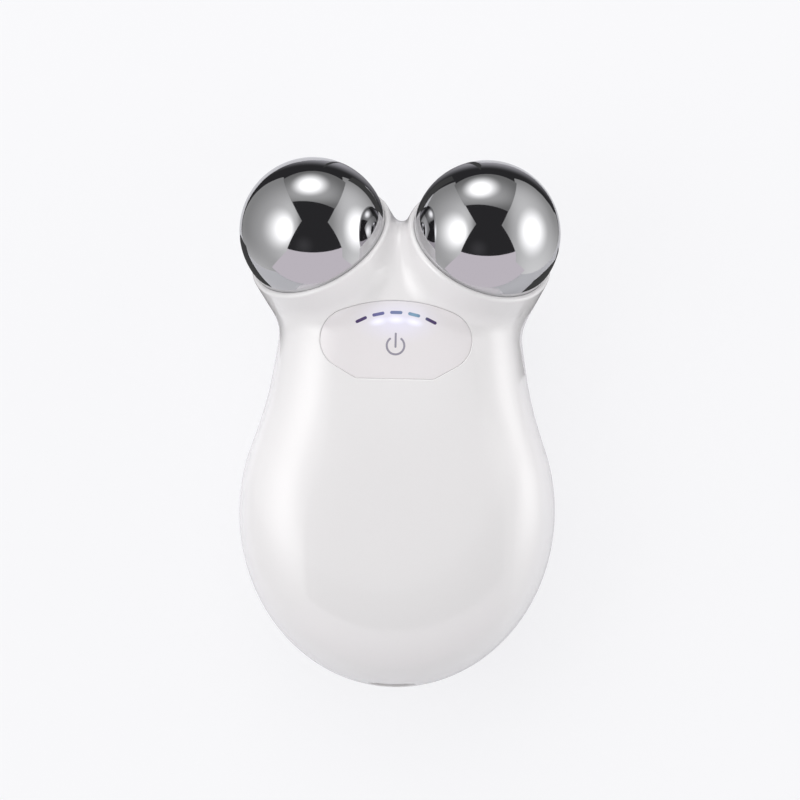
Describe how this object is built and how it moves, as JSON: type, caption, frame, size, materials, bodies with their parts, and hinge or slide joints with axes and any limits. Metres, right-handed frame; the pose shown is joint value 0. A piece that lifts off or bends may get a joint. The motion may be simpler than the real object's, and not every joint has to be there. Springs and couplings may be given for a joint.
{
  "type": "facial toning device",
  "caption": "Palm-sized facial toning device: a pear-shaped housing with polished contact spheres in tilted cups and a sprung control key with light windows.",
  "frame": {"origin": "centre of the bounding box, on the flat of the back", "axes": "+Z out of the front face, +Y along the device from the tail to the spheres, +X across it"},
  "size_m": [0.0654, 0.108, 0.041],
  "materials": {
    "pearl_shell": "high-gloss injection-moulded ABS with a pearl clear coat",
    "pearl_key": "high-gloss moulded ABS, slightly warmer than the shells",
    "contact_chrome": "mirror-polished chrome plate",
    "stud_brass": "turned brass",
    "seal_rubber": "moulded silicone",
    "carrier_plastic": "natural moulded ABS",
    "screw_steel": "zinc-plated steel",
    "lead_white": "extruded PVC insulation",
    "lead_red": "extruded PVC insulation",
    "guide_clear": "clear moulded polycarbonate",
    "plunger_black": "moulded nylon",
    "led_lens": "cast epoxy",
    "board_laminate": "glass-epoxy laminate under solder mask",
    "chip_epoxy": "transfer-moulded epoxy",
    "coil_ferrite": "sintered ferrite",
    "transformer_tape": "wound core under polyester tape",
    "capacitor_ceramic": "fired ceramic",
    "battery_pouch": "laminated aluminium pouch",
    "pad_foam": "closed-cell foam tape",
    "plug_nylon": "moulded nylon",
    "plug_rubber": "moulded silicone"
  },
  "bodies": {
    "housing": {"front_shell": "pearl_shell", "rear_shell": "pearl_shell", "sphere_left": "contact_chrome", "sphere_right": "contact_chrome", "sphere_studs": "stud_brass", "sphere_seals": "seal_rubber", "sphere_carrier": "carrier_plastic", "sphere_screws": "screw_steel", "contact_tags": "stud_brass", "carrier_screws": "screw_steel", "electrode_lead_left": "lead_white", "electrode_lead_right": "lead_red", "key_switch": "screw_steel", "status_leds": "led_lens", "main_board": "board_laminate", "board_screws": "screw_steel", "controller_chip": "chip_epoxy", "charger_chip": "chip_epoxy", "boost_coil": "coil_ferrite", "signal_transformer": "transformer_tape", "board_capacitors": "capacitor_ceramic", "buzzer": "chip_epoxy", "battery": "battery_pouch", "battery_pad": "pad_foam", "battery_leads": "lead_red", "battery_plug": "plug_nylon", "inlet_shell": "screw_steel", "inlet_tongue": "chip_epoxy", "housing_screws": "screw_steel", "screw_plugs": "plug_rubber"},
    "key": {"control_key": "pearl_key", "light_guide": "guide_clear", "switch_plunger": "plunger_black"}
  },
  "joints": [
    {"name": "key_press", "type": "slide", "parent": "housing", "child": "key", "axis": [0, 0, -1], "range_m": [0, 0.0004], "stiffness_N_per_m": 4000}
  ]
}
